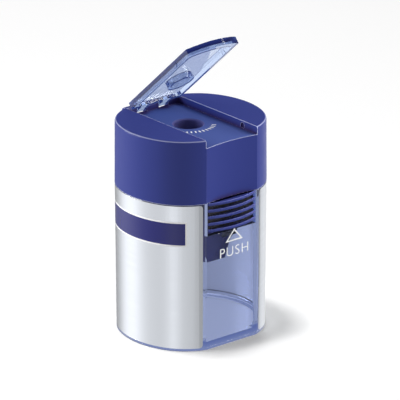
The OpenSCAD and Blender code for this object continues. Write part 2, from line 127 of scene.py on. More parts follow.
def new_material(name):
    """An empty node material with its output node."""
    material = bpy.data.materials.new(name)
    material.use_nodes = True
    material.node_tree.nodes.clear()
    return material, material.node_tree, material.node_tree.nodes.new("ShaderNodeOutputMaterial")


def mould_skin_group():
    """The skin of a moulding: flow waves, fine grain and scuffs, as a normal and a roughness."""
    group = bpy.data.node_groups.new("mould skin", "ShaderNodeTree")
    for name, value in (("Roughness", 0.3), ("Wave Height", 0.02), ("Grain Height", 0.004),
                        ("Scuffs", 0.1)):
        socket = group.interface.new_socket(name, in_out="INPUT", socket_type="NodeSocketFloat")
        socket.default_value = value
    group.interface.new_socket("Roughness", in_out="OUTPUT", socket_type="NodeSocketFloat")
    group.interface.new_socket("Normal", in_out="OUTPUT", socket_type="NodeSocketVector")
    given = group.nodes.new("NodeGroupInput").outputs
    place = add(group, "ShaderNodeTexCoord").outputs["Object"]
    waves = add(group, "ShaderNodeTexNoise", {"Vector": place, "Scale": 90.0, "Detail": 2.0})
    grain = add(group, "ShaderNodeTexNoise", {"Vector": place, "Scale": 5200.0, "Detail": 2.0})
    patches = add(group, "ShaderNodeTexNoise", {"Vector": place, "Scale": 240.0, "Detail": 5.0,
                                                "Roughness": 0.7})
    scuffs = add(group, "ShaderNodeMapRange", {"Value": patches.outputs["Fac"], "From Min": 0.45,
                                               "From Max": 0.75, "To Min": 0.0, "To Max": 1.0})
    rise = add(group, "ShaderNodeMath", {0: scuffs.outputs["Result"], 1: given["Scuffs"],
                                         2: given["Roughness"]}, operation="MULTIPLY_ADD")
    wave_depth = add(group, "ShaderNodeMath", {0: given["Wave Height"], 1: MM},
                     operation="MULTIPLY")
    wave_bump = add(group, "ShaderNodeBump", {"Height": waves.outputs["Fac"], "Strength": 1.0,
                                              "Distance": wave_depth.outputs[0]})
    grain_depth = add(group, "ShaderNodeMath", {0: given["Grain Height"], 1: MM},
                      operation="MULTIPLY")
    grain_bump = add(group, "ShaderNodeBump", {"Height": grain.outputs["Fac"], "Strength": 1.0,
                                               "Distance": grain_depth.outputs[0],
                                               "Normal": wave_bump.outputs["Normal"]})
    out = group.nodes.new("NodeGroupOutput")
    group.links.new(rise.outputs[0], out.inputs["Roughness"])
    group.links.new(grain_bump.outputs["Normal"], out.inputs["Normal"])
    return group


mould_skin = mould_skin_group()


def clear_plastic(name, skin_tint, tint, per_mm, wave, scuffs, painted_glow):
    """Clear plastic, tinted at its skin and on the way through, with lamplight let in past it.

    Rays that reflect inside it and meet its inner face end in a painted glow of the given colour."""
    material, tree, out = new_material(name)
    skin = add(tree, "ShaderNodeGroup", node_tree=mould_skin)
    skin.inputs["Roughness"].default_value = 0.03
    skin.inputs["Wave Height"].default_value = wave
    skin.inputs["Grain Height"].default_value = 0.0
    skin.inputs["Scuffs"].default_value = scuffs
    shader = add(tree, "ShaderNodeBsdfPrincipled", {
        "Base Color": skin_tint, "Transmission Weight": 1.0, "IOR": 1.55,
        "Roughness": skin.outputs["Roughness"], "Normal": skin.outputs["Normal"]})
    path = add(tree, "ShaderNodeLightPath")
    past = add(tree, "ShaderNodeBsdfTransparent", {"Color": (0.92, 0.92, 0.92, 1.0)})
    lamp_ray = add(tree, "ShaderNodeMath", {0: path.outputs["Is Shadow Ray"],
                                            1: path.outputs["Is Diffuse Ray"]}, operation="MAXIMUM")
    inside = add(tree, "ShaderNodeNewGeometry").outputs["Backfacing"]
    trapped = add(tree, "ShaderNodeMath", {0: path.outputs["Is Reflection Ray"], 1: inside},
                  operation="MULTIPLY")
    trapped_ray_glow = add(tree, "ShaderNodeEmission", {"Color": painted_glow, "Strength": 1.0})
    ends = add(tree, "ShaderNodeMixShader", {0: trapped.outputs[0], 1: shader.outputs[0],
                                             2: trapped_ray_glow.outputs[0]})
    mix = add(tree, "ShaderNodeMixShader", {0: lamp_ray.outputs[0], 1: ends.outputs[0],
                                            2: past.outputs[0]})
    depth = add(tree, "ShaderNodeVolumeAbsorption", {"Color": tint, "Density": per_mm / MM})
    tree.links.new(mix.outputs[0], out.inputs["Surface"])
    tree.links.new(depth.outputs[0], out.inputs["Volume"])
    return material


def painted_shade_dust():
    """Painted shade: a dark matt colour, uneven in fine specks."""
    material, tree, out = new_material("painted shade dust")
    place = add(tree, "ShaderNodeTexCoord").outputs["Object"]
    speck = add(tree, "ShaderNodeTexNoise", {"Vector": place, "Scale": 900.0, "Detail": 3.0})
    grey = add(tree, "ShaderNodeMix", {"Factor": speck.outputs["Fac"],
                                       "A": (0.005, 0.006, 0.02, 1.0),
                                       "B": (0.05, 0.06, 0.12, 1.0)}, data_type="RGBA")
    shader = add(tree, "ShaderNodeBsdfPrincipled", {"Base Color": grey.outputs["Result"],
                                                    "Roughness": 0.7})
    tree.links.new(shader.outputs[0], out.inputs["Surface"])
    return material


painted_shade_material = painted_shade_dust()
# Its last colour is a painted glow, for rays that reflect inside the plastic.
tub_plastic = clear_plastic("clear tub plastic", skin_tint=(0.76, 0.80, 0.92, 1.0),
                            tint=(0.10, 0.26, 0.70, 1.0), per_mm=0.07, wave=0.012, scuffs=0.05,
                            painted_glow=(0.36, 0.41, 0.58, 1.0))
tub = moulding("tub", tub_plastic, edge=0.15)

sill_height = 33.3         # the lower edge of the cut-out in the front wall; its sill is painted dark, as shade
sill_reach = 0.1           # a face is part of the sill when its middle is this near that height
# The sill's level faces take the dark painted shade, for the shade under the press pad.
tub.data.materials.append(painted_shade_material)
for face in tub.data.polygons:
    near_sill = abs(face.center.z / MM - sill_height) < sill_reach
    if face.normal.z > up_share and near_sill and face.center.y < 0:
        face.material_index = 1

# Painted shade: a thin dark line round the inside of each round side, at the floor's fillet.
shade_line_height, shade_line_r = 3.23, 0.14
shade_line_reach = 0.03          # the wall's corners within this height of the line carry it
shade_line_from = 8.4            # the line runs round the side from this far off the middle


def finished(holder):
    """The mesh that a curve, a text or a modifier makes. The holder is then thrown away."""
    bpy.context.scene.collection.objects.link(holder)
    graph = bpy.context.evaluated_depsgraph_get()
    mesh = bpy.data.meshes.new_from_object(holder.evaluated_get(graph))
    holder.modifiers.clear()
    bpy.data.objects.remove(holder)
    return mesh


def painted_shade_line(side):
    """A thin dark line of painted shade, where the tub's wall meets the fillet of its floor."""
    spots = {}
    for vertex in frame["nodes"]["tub"].data.vertices:
        x, y, z = (c / MM for c in vertex.co)
        if abs(z - shade_line_height) < shade_line_reach and side * x > shade_line_from:
            spots[(round(x, 2), round(y, 2))] = (x, y, z)
    line = bpy.data.curves.new("painted_shade", "CURVE")
    line.dimensions = "3D"
    line.bevel_depth = shade_line_r * MM
    line.bevel_resolution = 2
    row = sorted(spots.values(), key=lambda p: atan2(p[1], side * p[0]))
    path = line.splines.new("POLY")
    path.points.add(len(row) - 1)
    for point, (x, y, z) in zip(path.points, row):
        inwards = 1 - shade_line_r / (x * x + y * y) ** 0.5
        point.co = (x * inwards * MM, y * inwards * MM, z * MM, 1.0)
    mesh = finished(bpy.data.objects.new("painted_shade", line))
    painted_shade = plain_mesh("shade_line_right" if side > 0 else "shade_line_left", mesh, painted_shade_material)
    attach(painted_shade, "tub_body")


painted_shade_line(1)
painted_shade_line(-1)

print_t = 0.03             # the printed white stands this far out from the plastic, in mm
sign_x = 0.9               # the print sits a little off the middle, as pad printing does
window_face = -17.65       # the front window's outside, where the print lies
triangle_low, triangle_high, triangle_half, triangle_line = 29.9, 33.5, 3.1, 0.42
word_low, word_height, word_width = 25.7, 2.75, 10.0


def ink(name, colour):
    """Matt printing ink, thinner in places where the pad left less."""
    material, tree, out = new_material(name)
    place = add(tree, "ShaderNodeTexCoord").outputs["Object"]
    speck = add(tree, "ShaderNodeTexNoise", {"Vector": place, "Scale": 4000.0, "Detail": 2.0})
    shade = add(tree, "ShaderNodeMapRange", {"Value": speck.outputs["Fac"], "From Min": 0.3,
                                             "From Max": 0.7, "To Min": 0.86, "To Max": 1.0})
    tone = add(tree, "ShaderNodeMix", {"Factor": shade.outputs["Result"],
                                       "A": (0.45, 0.48, 0.55, 1.0), "B": colour}, data_type="RGBA")
    shader = add(tree, "ShaderNodeBsdfPrincipled", {"Base Color": tone.outputs["Result"],
                                                    "Roughness": 0.55})
    tree.links.new(shader.outputs[0], out.inputs["Surface"])
    return material


white_ink = ink("white ink", (0.92, 0.93, 0.93, 1.0))


def printed(name, mesh, body):
    """A flat print that rides on a body."""
    mark = plain_mesh(name, mesh, white_ink)
    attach(mark, body)


def upright(x, y, z):
    """Turns a flat mesh, drawn in mm, to stand on the front face with its foot at x, y, z."""
    stood = Matrix.Rotation(radians(90), 4, "X") @ Matrix.Scale(MM, 4)
    return Matrix.Translation(Vector((x, y, z)) * MM) @ stood


def thick(shape, depth):
    """Gives a flat mesh its thickness, and turns its faces outwards."""
    made = bmesh.ops.extrude_face_region(shape, geom=list(shape.faces))
    lifted = [v for v in made["geom"] if isinstance(v, bmesh.types.BMVert)]
    bmesh.ops.translate(shape, vec=(0, 0, depth), verts=lifted)
    bmesh.ops.recalc_face_normals(shape, faces=shape.faces)


def triangle_print():
    """The outline of the triangle that points up at the press pad."""
    height = triangle_high - triangle_low
    slope = (triangle_half ** 2 + height ** 2) ** 0.5
    inner_half = triangle_half - triangle_line * (slope + triangle_half) / height
    inner_top = height - triangle_line * slope / triangle_half
    outer = ((-triangle_half, 0), (triangle_half, 0), (0, height))
    inner = ((-inner_half, triangle_line), (inner_half, triangle_line), (0, inner_top))
    shape = bmesh.new()
    out = [shape.verts.new((x, y, 0)) for x, y in outer]
    within = [shape.verts.new((x, y, 0)) for x, y in inner]
    for i in range(3):
        k = (i + 1) % 3
        shape.faces.new((out[i], out[k], within[k], within[i]))
    thick(shape, print_t)
    mesh = bpy.data.meshes.new("press_sign")
    shape.to_mesh(mesh)
    shape.free()
    mesh.transform(upright(sign_x, window_face, triangle_low))
    return mesh


def word_print(word):
    """A plain word in capitals, scaled to its height and width."""
    letters = bpy.data.curves.new("word", "FONT")
    letters.body = word
    letters.size = 1.0
    letters.space_character = 1.15
    letters.offset = -0.008
    letters.resolution_u = 6
    flat = finished(bpy.data.objects.new("word", letters))
    left, right = min(v.co.x for v in flat.vertices), max(v.co.x for v in flat.vertices)
    low, high = min(v.co.y for v in flat.vertices), max(v.co.y for v in flat.vertices)
    shape = bmesh.new()
    shape.from_mesh(flat)
    bmesh.ops.remove_doubles(shape, verts=shape.verts, dist=1e-5)
    for v in shape.verts:
        v.co.x = (v.co.x - (left + right) / 2) * word_width / (right - left)
        v.co.y = (v.co.y - low) * word_height / (high - low)
    thick(shape, print_t)
    shape.to_mesh(flat)
    shape.free()
    flat.transform(upright(sign_x, window_face, word_low))
    return flat


printed("press_sign", triangle_print(), "tub_body")
printed("press_word", word_print("PUSH"), "tub_body")


# ---- Foil panels -----------------------------------------------------------------------------
# Each round side carries a panel of satin metallised film, die cut with round corners and
# glued on. The left one is printed with a plain navy band inside a fine light line.

foil_silver = linear(225, 229, 236)
foil_back = (0.80, 0.82, 0.86, 1.0)
glued_side = -5.0          # a face that looks this far inwards, in mm, lies against the tub
painted_back_glow = 0.34           # a painted glow on the foil's glued side, where it is seen through the clear plastic
band_navy = (0.004, 0.006, 0.16, 1.0)
line_white = (0.95, 0.95, 0.97, 1.0)
band_low, band_high, band_line = 31.3, 37.6, 0.45
band_half_angle, band_r = 46.5, 20.0
foil_grain = (20.0, 20.0, 3000.0)


def printed_band(tree, place, back):
    """The navy band in its light line: its colour, and 1 where print or glue hides the metal."""
    part = add(tree, "ShaderNodeSeparateXYZ", {0: place})
    left = add(tree, "ShaderNodeMath", {0: part.outputs["X"], 1: -1.0}, operation="MULTIPLY")
    turn_angle = add(tree, "ShaderNodeMath", {0: part.outputs["Y"], 1: left.outputs[0]},
                     operation="ARCTAN2")
    off_middle = add(tree, "ShaderNodeMath", {0: turn_angle.outputs[0]}, operation="ABSOLUTE")
    middle = (band_low + band_high) / 2 * MM
    off_height = add(tree, "ShaderNodeMath", {0: part.outputs["Z"], 1: middle},
                     operation="SUBTRACT")
    off_height = add(tree, "ShaderNodeMath", {0: off_height.outputs[0]}, operation="ABSOLUTE")

    def inside(grow):
        """1 within the band grown by so many millimetres."""
        wide = radians(band_half_angle) + grow / band_r
        high = ((band_high - band_low) / 2 + grow) * MM
        a = add(tree, "ShaderNodeMath", {0: off_middle.outputs[0], 1: wide}, operation="LESS_THAN")
        b = add(tree, "ShaderNodeMath", {0: off_height.outputs[0], 1: high}, operation="LESS_THAN")
        return add(tree, "ShaderNodeMath", {0: a.outputs[0], 1: b.outputs[0]},
                   operation="MULTIPLY").outputs[0]

    band, line = inside(0.0), inside(band_line)
    inks = add(tree, "ShaderNodeMix", {"Factor": band, "A": line_white, "B": band_navy},
               data_type="RGBA")
    colour = add(tree, "ShaderNodeMix", {"Factor": line, "A": foil_silver,
                                         "B": inks.outputs["Result"]}, data_type="RGBA")
    matt = add(tree, "ShaderNodeMath", {0: line, 1: back}, operation="MAXIMUM")
    return colour.outputs["Result"], matt.outputs[0]


def foil_material(name, banded):
    """Satin metallised film, its grain drawn round the tub, with the printed band where asked."""
    material, tree, out = new_material(name)
    place = add(tree, "ShaderNodeTexCoord").outputs["Object"]
    drawn = add(tree, "ShaderNodeMapping", {"Vector": place, "Scale": foil_grain})
    grain = add(tree, "ShaderNodeTexNoise", {"Vector": drawn.outputs[0], "Scale": 1.0,
                                             "Detail": 3.0})
    rough = add(tree, "ShaderNodeMapRange", {"Value": grain.outputs["Fac"], "From Min": 0.3,
                                             "From Max": 0.7, "To Min": 0.18, "To Max": 0.24})
    bump = add(tree, "ShaderNodeBump", {"Height": grain.outputs["Fac"], "Strength": 0.2,
                                        "Distance": 0.01 * MM})
    facing = add(tree, "ShaderNodeTexCoord").outputs["Normal"]
    level = add(tree, "ShaderNodeVectorMath", {0: place, 1: (1.0, 1.0, 0.0)}, operation="MULTIPLY")
    outward = add(tree, "ShaderNodeVectorMath", {0: facing, 1: level.outputs[0]},
                  operation="DOT_PRODUCT")
    back = add(tree, "ShaderNodeMath", {0: outward.outputs["Value"], 1: glued_side * MM},
               operation="LESS_THAN").outputs[0]
    shader = add(tree, "ShaderNodeBsdfPrincipled", {
        "Roughness": rough.outputs["Result"], "Normal": bump.outputs["Normal"],
        "Anisotropic": 0.75})
    turn = add(tree, "ShaderNodeTangent", direction_type="RADIAL", axis="Z")
    tree.links.new(turn.outputs[0], shader.inputs["Tangent"])
    # Painted light: the glued side glows where it is seen through the clear plastic.
    through = add(tree, "ShaderNodeLightPath").outputs["Is Transmission Ray"]
    lit = add(tree, "ShaderNodeMath", {0: through, 1: back}, operation="MULTIPLY")
    lit = add(tree, "ShaderNodeMath", {0: lit.outputs[0], 1: painted_back_glow}, operation="MULTIPLY")
    glow = add(tree, "ShaderNodeEmission", {"Color": (1.0, 1.0, 1.0, 1.0),
                                            "Strength": lit.outputs[0]})
    both = add(tree, "ShaderNodeAddShader", {0: shader.outputs[0], 1: glow.outputs[0]})
    tree.links.new(both.outputs[0], out.inputs["Surface"])
    front, matt = foil_silver, back
    if banded:
        front, matt = printed_band(tree, place, back)
    whole = add(tree, "ShaderNodeMix", {"Factor": back, "A": front, "B": foil_back},
                data_type="RGBA")
    bare = add(tree, "ShaderNodeMath", {0: 1.0, 1: matt}, operation="SUBTRACT", use_clamp=True)
    tree.links.new(whole.outputs["Result"], shader.inputs["Base Color"])
    tree.links.new(bare.outputs[0], shader.inputs["Metallic"])
    return material


moulding("foil_panel_left", foil_material("printed foil", True), edge=0)
moulding("foil_panel_right", foil_material("plain foil", False), edge=0)


# ---- Carrier, wedge, blade and screw ---------------------------------------------------------
# The inner moulding of dark blue plastic is pressed up into the head and carries the sharpener:
# a milled magnesium wedge with a coned bore, and a ground steel blade held on the wedge's seat
# by one screw.

hole_y = 1.0               # the pencil hole's axis stands this far behind the middle, in mm


def off_hole(tree, near, far):
    """0 within the near distance, in mm, of the pencil hole's axis, and 1 beyond the far one."""
    place = add(tree, "ShaderNodeVectorMath", {0: add(tree, "ShaderNodeTexCoord").outputs["Object"],
                                               1: (1.0, 1.0, 0.0)}, operation="MULTIPLY")
    away = add(tree, "ShaderNodeVectorMath", {0: place.outputs[0], 1: (0.0, hole_y * MM, 0.0)},
               operation="DISTANCE")
    return add(tree, "ShaderNodeMapRange", {"Value": away.outputs["Value"], "From Min": near * MM,
                                            "From Max": far * MM}).outputs["Result"]


rim_lean = 0.72            # how far up a softened top edge looks
rim_shine = 0.37           # how bright the painted highlight on such an edge is, beside a full one
hole_ring = (3.4, 6.4)     # the painted highlight fades in between these distances from the hole's axis


def edge_highlight_group():
    """1 along a moulding's edges and softened rims, where a highlight is painted, and 0 on its
    faces.
    """
    group = bpy.data.node_groups.new("painted edge highlight", "ShaderNodeTree")
    group.interface.new_socket("Edge", in_out="OUTPUT", socket_type="NodeSocketFloat")
    rounded = add(group, "ShaderNodeBevel", {"Radius": 0.34 * MM}, samples=8)
    flat = add(group, "ShaderNodeNewGeometry").outputs["True Normal"]
    turned = add(group, "ShaderNodeVectorMath", {0: rounded.outputs[0], 1: flat},
                 operation="DOT_PRODUCT")
    edge = add(group, "ShaderNodeMapRange", {"Value": turned.outputs["Value"], "From Min": 0.99,
                                             "From Max": 0.80}, interpolation_type="SMOOTHSTEP")
    normal = add(group, "ShaderNodeTexCoord").outputs["Normal"]
    facing = add(group, "ShaderNodeSeparateXYZ", {0: normal})
    slope = add(group, "ShaderNodeMath", {0: facing.outputs["Z"], 1: rim_lean},
                operation="SUBTRACT")
    slope = add(group, "ShaderNodeMath", {0: slope.outputs[0]}, operation="ABSOLUTE")
    rim = add(group, "ShaderNodeMapRange", {"Value": slope.outputs[0], "From Min": 0.26,
                                            "From Max": 0.10, "To Max": rim_shine},
              interpolation_type="SMOOTHSTEP")
    both = add(group, "ShaderNodeMath", {0: edge.outputs["Result"], 1: rim.outputs["Result"]},
               operation="MAXIMUM")
    dull = add(group, "ShaderNodeMath", {0: off_hole(group, *hole_ring), 1: both.outputs[0]},
               operation="MULTIPLY")
    out = group.nodes.new("NodeGroupOutput")
    group.links.new(dull.outputs[0], out.inputs["Edge"])
    return group


painted_edge_highlight = edge_highlight_group()

matt_rise = 0.5            # top faces are rougher by this, so that low lamps do not burn them out
floor_reach = 0.05         # a face this little above the floor's height still belongs to the floor
bore_ring = (4.3, 4.6)      # the pencil hole's bore takes its own tone inside these distances of the axis


def tinted_plastic(name, colour, rough, grain, gloss, highlight_tone=None, floor=None, painted_shade=0.0,
                   shade_span=None, shade_tone=None, bore_tone=None):
    """Dark moulded plastic with fine grain and flow waves.

    Where they are given, it has painted highlights on its edges, a lighter floor at a height as
    painted light, painted shade in hollows of so many millimetres, and a tone of its own in the
    bore."""
    material, tree, out = new_material(name)
    skin = add(tree, "ShaderNodeGroup", node_tree=mould_skin)
    skin.inputs["Roughness"].default_value = rough
    skin.inputs["Wave Height"].default_value = 0.01
    skin.inputs["Grain Height"].default_value = grain
    skin.inputs["Scuffs"].default_value = 0.12
    tone = colour
    roughness = skin.outputs["Roughness"]
    # Painted light: level faces at the floor's height take a lighter tone.
    if floor:
        height, floor_light_tone = floor
        given = add(tree, "ShaderNodeTexCoord").outputs
        place = add(tree, "ShaderNodeSeparateXYZ", {0: given["Object"]})
        up = add(tree, "ShaderNodeSeparateXYZ", {0: given["Normal"]})
        low = add(tree, "ShaderNodeMath", {0: place.outputs["Z"], 1: (height + floor_reach) * MM},
                  operation="LESS_THAN")
        level = add(tree, "ShaderNodeMath", {0: up.outputs["Z"], 1: up_share},
                    operation="GREATER_THAN")
        roughness = add(tree, "ShaderNodeMath", {0: level.outputs[0], 1: matt_rise,
                                                 2: roughness}, operation="MULTIPLY_ADD").outputs[0]
        on_floor = add(tree, "ShaderNodeMath", {0: low.outputs[0], 1: level.outputs[0]},
                       operation="MULTIPLY")
        tone = add(tree, "ShaderNodeMix", {"Factor": on_floor.outputs[0], "A": tone,
                                           "B": floor_light_tone}, data_type="RGBA").outputs["Result"]
    # Painted highlight: a light tone along the edges.
    if highlight_tone:
        edge = add(tree, "ShaderNodeGroup", node_tree=painted_edge_highlight)
        tone = add(tree, "ShaderNodeMix", {"Factor": edge.outputs["Edge"], "A": tone,
                                           "B": highlight_tone}, data_type="RGBA").outputs["Result"]
    # Painted shade: darker where ambient occlusion finds a hollow.
    if painted_shade:
        open_sky = add(tree, "ShaderNodeAmbientOcclusion", {"Distance": painted_shade * MM}, samples=8)
        deep = add(tree, "ShaderNodeMapRange", {"Value": open_sky.outputs["AO"],
                                                "From Min": shade_span[0],
                                                "From Max": shade_span[1]},
                   interpolation_type="SMOOTHSTEP")
        tone = add(tree, "ShaderNodeMix", {"Factor": deep.outputs["Result"], "A": tone,
                                           "B": shade_tone}, data_type="RGBA").outputs["Result"]
    # The pencil hole's bore takes its own tone.
    if bore_tone:
        tone = add(tree, "ShaderNodeMix", {"Factor": off_hole(tree, *bore_ring), "A": bore_tone,
                                           "B": tone}, data_type="RGBA").outputs["Result"]
    shader = add(tree, "ShaderNodeBsdfPrincipled", {
        "Base Color": tone, "Roughness": roughness,
        "Normal": skin.outputs["Normal"], "IOR": 1.5, "Specular IOR Level": gloss})
    tree.links.new(shader.outputs[0], out.inputs["Surface"])
    return material


carrier_plastic = tinted_plastic("blue carrier plastic", (0.018, 0.018, 0.13, 1.0), rough=0.4,
                                 grain=0.003, gloss=0.25)
moulding("sharpener_carrier", carrier_plastic, edge=0)

mark_rise = 0.12           # how much rougher metal is where its tool marks lie thickest


def metal(name, colour, rough, stretch, bump):
    """Bare metal with fine level tool marks, drawn out by the stretch."""
    material, tree, out = new_material(name)
    place = add(tree, "ShaderNodeTexCoord").outputs["Object"]
    drawn = add(tree, "ShaderNodeMapping", {"Vector": place, "Scale": stretch})
    marks = add(tree, "ShaderNodeTexNoise", {"Vector": drawn.outputs[0], "Scale": 1.0,
                                             "Detail": 4.0})
    rougher = add(tree, "ShaderNodeMapRange", {"Value": marks.outputs["Fac"], "From Min": 0.3,
                                               "From Max": 0.7, "To Min": rough,
                                               "To Max": rough + mark_rise})
    relief = add(tree, "ShaderNodeBump", {"Height": marks.outputs["Fac"], "Strength": 0.5,
                                          "Distance": bump * MM})
    shader = add(tree, "ShaderNodeBsdfPrincipled", {
        "Base Color": colour, "Metallic": 1.0, "Roughness": rougher.outputs["Result"],
        "Normal": relief.outputs["Normal"]})
    tree.links.new(shader.outputs[0], out.inputs["Surface"])
    return material


magnesium = metal("milled magnesium", linear(190, 191, 194), rough=0.35,
                  stretch=(300.0, 300.0, 3000.0), bump=0.02)
moulding("sharpener_wedge", magnesium, edge=0.1)
steel = metal("ground steel", linear(205, 207, 211), rough=0.18, stretch=(200.0, 200.0, 4000.0),
              bump=0.006)
moulding("blade", steel, edge=0)
moulding("blade_screw", steel, edge=0.08)


# ---- Head ------------------------------------------------------------------------------------
# The head is a dark blue moulding that sits on the tub's rim. A channel across its top takes the
# lid, and the pencil hole opens in the channel's floor.

# The edge tone is a painted highlight, the floor tone painted light and the groove tone painted
# shade.
head_blue = (0.042, 0.056, 0.25, 1.0)
highlight_blue = (0.72, 0.75, 1.0, 1.0)
floor_light_blue = (0.075, 0.112, 0.36, 1.0)
bore_blue = (0.09, 0.088, 0.27, 1.0)
groove_shade = (0.040, 0.026, 0.12, 1.0)
channel_floor = 58.95
head_plastic = tinted_plastic("blue head plastic", head_blue, rough=0.30, grain=0.001, gloss=0.07,
                              highlight_tone=highlight_blue, floor=(channel_floor, floor_light_blue), painted_shade=2.5,
                              shade_span=(0.86, 0.50), shade_tone=groove_shade, bore_tone=bore_blue)
moulding("head", head_plastic, edge=0.05)

# The strokes stand on an arc round the hole, its angles in degrees from +X.
stroke_arc_r, stroke_arc_from, stroke_arc_to = 7.1, -46, -132
stroke_count, stroke_high, stroke_wide = 10, 1.2, 0.42
hole_place = (0.0, hole_y, channel_floor)


def new_geometry_group(name, inputs):
    """A Geometry Nodes group that takes nothing but its named sizes."""
    group = bpy.data.node_groups.new(name, "GeometryNodeTree")
    group.is_modifier = True
    for label, kind, value in inputs:
        socket = group.interface.new_socket(label, in_out="INPUT", socket_type=kind)
        if value is not None:
            socket.default_value = value
    group.interface.new_socket("Geometry", in_out="OUTPUT", socket_type="NodeSocketGeometry")
    return group, group.nodes.new("NodeGroupInput").outputs


def finish_group(group, instances, material):
    """Realizes the copies, gives them their material and closes the group."""
    real = add(group, "GeometryNodeRealizeInstances", {"Geometry": instances})
    painted = add(group, "GeometryNodeSetMaterial", {"Geometry": real.outputs[0],
                                                     "Material": material})
    out = group.nodes.new("NodeGroupOutput")
    group.links.new(painted.outputs[0], out.inputs[0])
    return group


def grown(name, group, values, material, body):
    """Runs a Geometry Nodes group once and keeps its result as a plain mesh on a body."""
    seed = bpy.data.objects.new(name + "_seed", bpy.data.meshes.new(name + "_seed"))
    grow = seed.modifiers.new("grow", "NODES")
    grow.node_group = group
    for socket in group.interface.items_tree:
        if socket.in_out == "INPUT" and socket.name in values:
            grow[socket.identifier] = values[socket.name]
    piece = plain_mesh(name, finished(seed), material)
    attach(piece, body)


def stroke_group():
    """A row of short strokes set along an arc, each one pointing to the arc's middle."""
    group, given = new_geometry_group("arc of strokes", (
        ("Count", "NodeSocketInt", 12), ("Radius", "NodeSocketFloat", 7.1 * MM),
        ("Start", "NodeSocketFloat", 0.0), ("Sweep", "NodeSocketFloat", 1.0),
        ("Length", "NodeSocketFloat", 1.0 * MM), ("Width", "NodeSocketFloat", 0.5 * MM),
        ("Thickness", "NodeSocketFloat", 0.02 * MM), ("Middle", "NodeSocketVector", None),
        ("Material", "NodeSocketMaterial", None)))
    arc = add(group, "GeometryNodeCurveArc", {"Resolution": 64, "Radius": given["Radius"],
                                              "Start Angle": given["Start"],
                                              "Sweep Angle": given["Sweep"]}, mode="RADIUS")
    row = add(group, "GeometryNodeCurveToPoints", {"Curve": arc.outputs["Curve"],
                                                   "Count": given["Count"]}, mode="COUNT")
    size = add(group, "ShaderNodeCombineXYZ", {"X": given["Length"], "Y": given["Width"],
                                               "Z": given["Thickness"]})
    stroke = add(group, "GeometryNodeMeshCube", {"Size": size.outputs[0]})
    turned = add(group, "FunctionNodeAlignEulerToVector", {"Vector": row.outputs["Tangent"]},
                 axis="Y", pivot_axis="Z")
    copies = add(group, "GeometryNodeInstanceOnPoints", {"Points": row.outputs["Points"],
                                                         "Instance": stroke.outputs["Mesh"],
                                                         "Rotation": turned.outputs[0]})
    placed = add(group, "GeometryNodeTransform", {"Geometry": copies.outputs[0],
                                                  "Translation": given["Middle"]})
    return finish_group(group, placed.outputs[0], given["Material"])


grown("turning_strokes", stroke_group(), {
    "Count": stroke_count, "Radius": stroke_arc_r * MM, "Start": radians(stroke_arc_from),
    "Sweep": radians(stroke_arc_to - stroke_arc_from), "Length": stroke_high * MM,
    "Width": stroke_wide * MM, "Thickness": 2 * print_t * MM,
    "Middle": [c * MM for c in hole_place], "Material": white_ink},
    white_ink, "head_body")


# ---- Press pad -------------------------------------------------------------------------------
# The press pad is a small moulding of the head's blue plastic that swings at the root of its
# tongue. It bulges through the cut-out in the tub's window, and five grip ridges run across it.

# The pad's grooves are painted near black by ambient occlusion: painted shade.
pad_plastic = tinted_plastic("blue pad plastic", head_blue, rough=0.25, grain=0.002, gloss=0.3,
                             painted_shade=1.6, shade_span=(0.9, 0.5), shade_tone=(0.006, 0.004, 0.016, 1.0))
moulding("press_pad", pad_plastic, edge=0.2)

# The ridges' crests lie on an arc of this radius and middle, this far out to either side. Each
# crest has a thin round lip, the first at the top.
ridge_r, ridge_centre, ridge_half = 21.44, 1.99, 8.42
ridge_count, lip_r, lip_top, lip_pitch = 5, 0.26, 42.57, 1.9125
crest_r = ridge_r - lip_r


def lip_group():
    """A stack of thin round lips that follow the crests of the grip ridges."""
    group, given = new_geometry_group("ridge lips", (
        ("Count", "NodeSocketInt", 5), ("Pitch", "NodeSocketFloat", 1.9 * MM),
        ("Top", "NodeSocketVector", None), ("Arc Radius", "NodeSocketFloat", 21 * MM),
        ("Half Angle", "NodeSocketFloat", 0.4), ("Lip Radius", "NodeSocketFloat", 0.3 * MM),
        ("Material", "NodeSocketMaterial", None)))
    start = add(group, "ShaderNodeMath", {0: -pi / 2, 1: given["Half Angle"]}, operation="SUBTRACT")
    sweep = add(group, "ShaderNodeMath", {0: given["Half Angle"], 1: 2.0}, operation="MULTIPLY")
    arc = add(group, "GeometryNodeCurveArc", {"Resolution": 40, "Radius": given["Arc Radius"],
                                              "Start Angle": start.outputs[0],
                                              "Sweep Angle": sweep.outputs[0]}, mode="RADIUS")
    ring = add(group, "GeometryNodeCurvePrimitiveCircle", {"Resolution": 12,
                                                           "Radius": given["Lip Radius"]},
               mode="RADIUS")
    lip = add(group, "GeometryNodeCurveToMesh", {"Curve": arc.outputs["Curve"],
                                                 "Profile Curve": ring.outputs["Curve"],
                                                 "Fill Caps": True})
    down = add(group, "ShaderNodeMath", {0: given["Pitch"], 1: -1.0}, operation="MULTIPLY")
    step = add(group, "ShaderNodeCombineXYZ", {"Z": down.outputs[0]})
    stack = add(group, "GeometryNodeMeshLine", {"Count": given["Count"],
                                                "Start Location": given["Top"],
                                                "Offset": step.outputs[0]}, mode="OFFSET")
    copies = add(group, "GeometryNodeInstanceOnPoints", {"Points": stack.outputs["Mesh"],
                                                         "Instance": lip.outputs["Mesh"]})
    return finish_group(group, copies.outputs[0], given["Material"])


